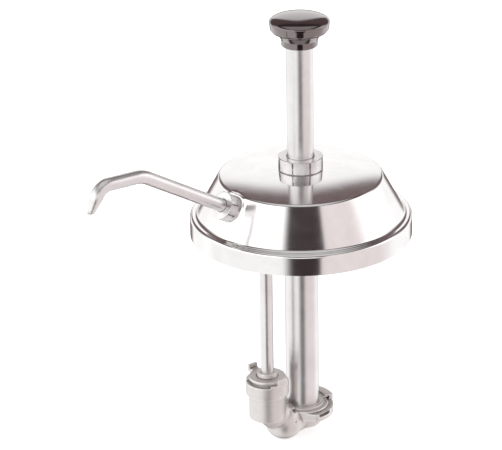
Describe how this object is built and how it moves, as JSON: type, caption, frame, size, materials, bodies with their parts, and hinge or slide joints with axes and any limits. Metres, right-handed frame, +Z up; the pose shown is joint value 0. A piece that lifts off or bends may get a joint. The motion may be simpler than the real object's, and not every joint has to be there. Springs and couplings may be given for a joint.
{
  "type": "condiment pump dispenser",
  "caption": "Push-knob condiment pump hung from a wide lid with a skirt: a piston in a long cylinder lifts sauce through ball valves and out of a bent spout.",
  "frame": {"origin": "centre of the lid skirt's mouth, on the pump's vertical axis", "axes": "+Z up along the plunger and the cylinder; the spout points along -Y; the valve body's small cup is on the same side"},
  "size_m": [0.1606, 0.2677, 0.3254],
  "materials": {
    "steel_satin": "fine satin polish",
    "steel_polished": "polished stainless steel",
    "steel_cast": "tumbled investment casting",
    "spring_steel": "drawn wire",
    "ball_steel": "ground ball",
    "brass": "turned",
    "knob_black": "moulded, glossy",
    "bearing_plastic": "turned acetal",
    "seal_rubber": "matte moulded"
  },
  "bodies": {
    "housing": {"lid": "steel_satin", "cap_nut": "steel_polished", "lid_gasket": "seal_rubber", "cylinder_head": "steel_polished", "guide_bush": "bearing_plastic", "wiper_ring": "seal_rubber", "cylinder_tube": "steel_polished", "return_spring": "spring_steel", "cylinder_foot": "steel_cast", "cylinder_o_ring": "seal_rubber", "spring_spider": "steel_polished", "discharge_tube": "steel_polished", "spout_gasket": "seal_rubber", "spout_bushing": "steel_polished", "spout_washer": "steel_polished", "spout_ferrule": "bearing_plastic", "spout_nut": "steel_polished", "discharge_fitting": "steel_cast", "discharge_o_ring": "seal_rubber", "valve_body": "steel_cast", "inlet_pin": "steel_polished", "outlet_pin": "steel_polished"},
    "plunger": {"knob": "knob_black", "knob_insert": "brass", "top_plug": "steel_polished", "plunger_tube": "steel_polished", "end_plug": "steel_polished", "piston": "bearing_plastic", "piston_seals": "seal_rubber", "piston_washer": "steel_polished", "piston_nut": "steel_polished"},
    "inlet_ball_body": {"inlet_ball": "ball_steel"},
    "outlet_ball_body": {"outlet_ball": "ball_steel"}
  },
  "joints": [
    {"name": "plunger_slide", "type": "slide", "parent": "housing", "child": "plunger", "axis": [0, 0, -1], "range_m": [0, 0.083], "stiffness_N_per_m": 120, "springref_m": -0.06, "deforming": ["return_spring"]},
    {"name": "inlet_ball_lift", "type": "slide", "parent": "housing", "child": "inlet_ball_body", "axis": [0, 0, 1], "range_m": [0, 0.0035]},
    {"name": "outlet_ball_lift", "type": "slide", "parent": "housing", "child": "outlet_ball_body", "axis": [0, 0, 1], "range_m": [0, 0.0035]}
  ]
}
